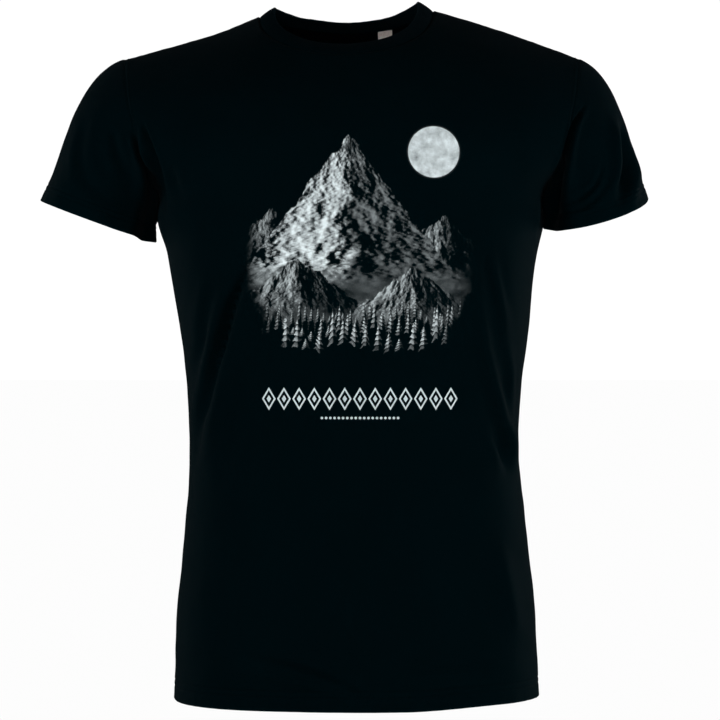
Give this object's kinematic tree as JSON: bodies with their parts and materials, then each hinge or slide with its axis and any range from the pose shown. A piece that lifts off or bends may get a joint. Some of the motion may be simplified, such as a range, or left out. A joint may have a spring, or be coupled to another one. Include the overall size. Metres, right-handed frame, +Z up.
{
  "type": "t-shirt",
  "caption": "Short-sleeved crew-neck T-shirt in black cotton jersey with a ribbed neckband, stitched hems and a tone-on-dark chest print, in its worn shape.",
  "frame": {"origin": "on the floor under the middle of the shirt's box, where the bottom hem stands", "axes": "+Z up from hem to neck, -Y out of the chest, +X towards the wearer's left sleeve"},
  "size_m": [0.6328, 0.2494, 0.7232],
  "materials": {
    "jersey": "fine matt cotton jersey, black with a cold tint",
    "rib": "matt black one-by-one rib, softly ridged",
    "tape": "black herringbone-woven cotton tape",
    "label": "woven ecru satin tab without text",
    "print": "thin grey and white screen-print ink, slightly rubbery"
  },
  "bodies": {
    "root": {"front_panel": "jersey", "back_panel": "jersey", "bottom_hem": "jersey", "neckband": "rib", "sleeve_right": "jersey", "sleeve_hem_right": "jersey", "sleeve_left": "jersey", "sleeve_hem_left": "jersey", "neck_tape": "tape", "size_label": "label"}
  },
  "joints": []
}
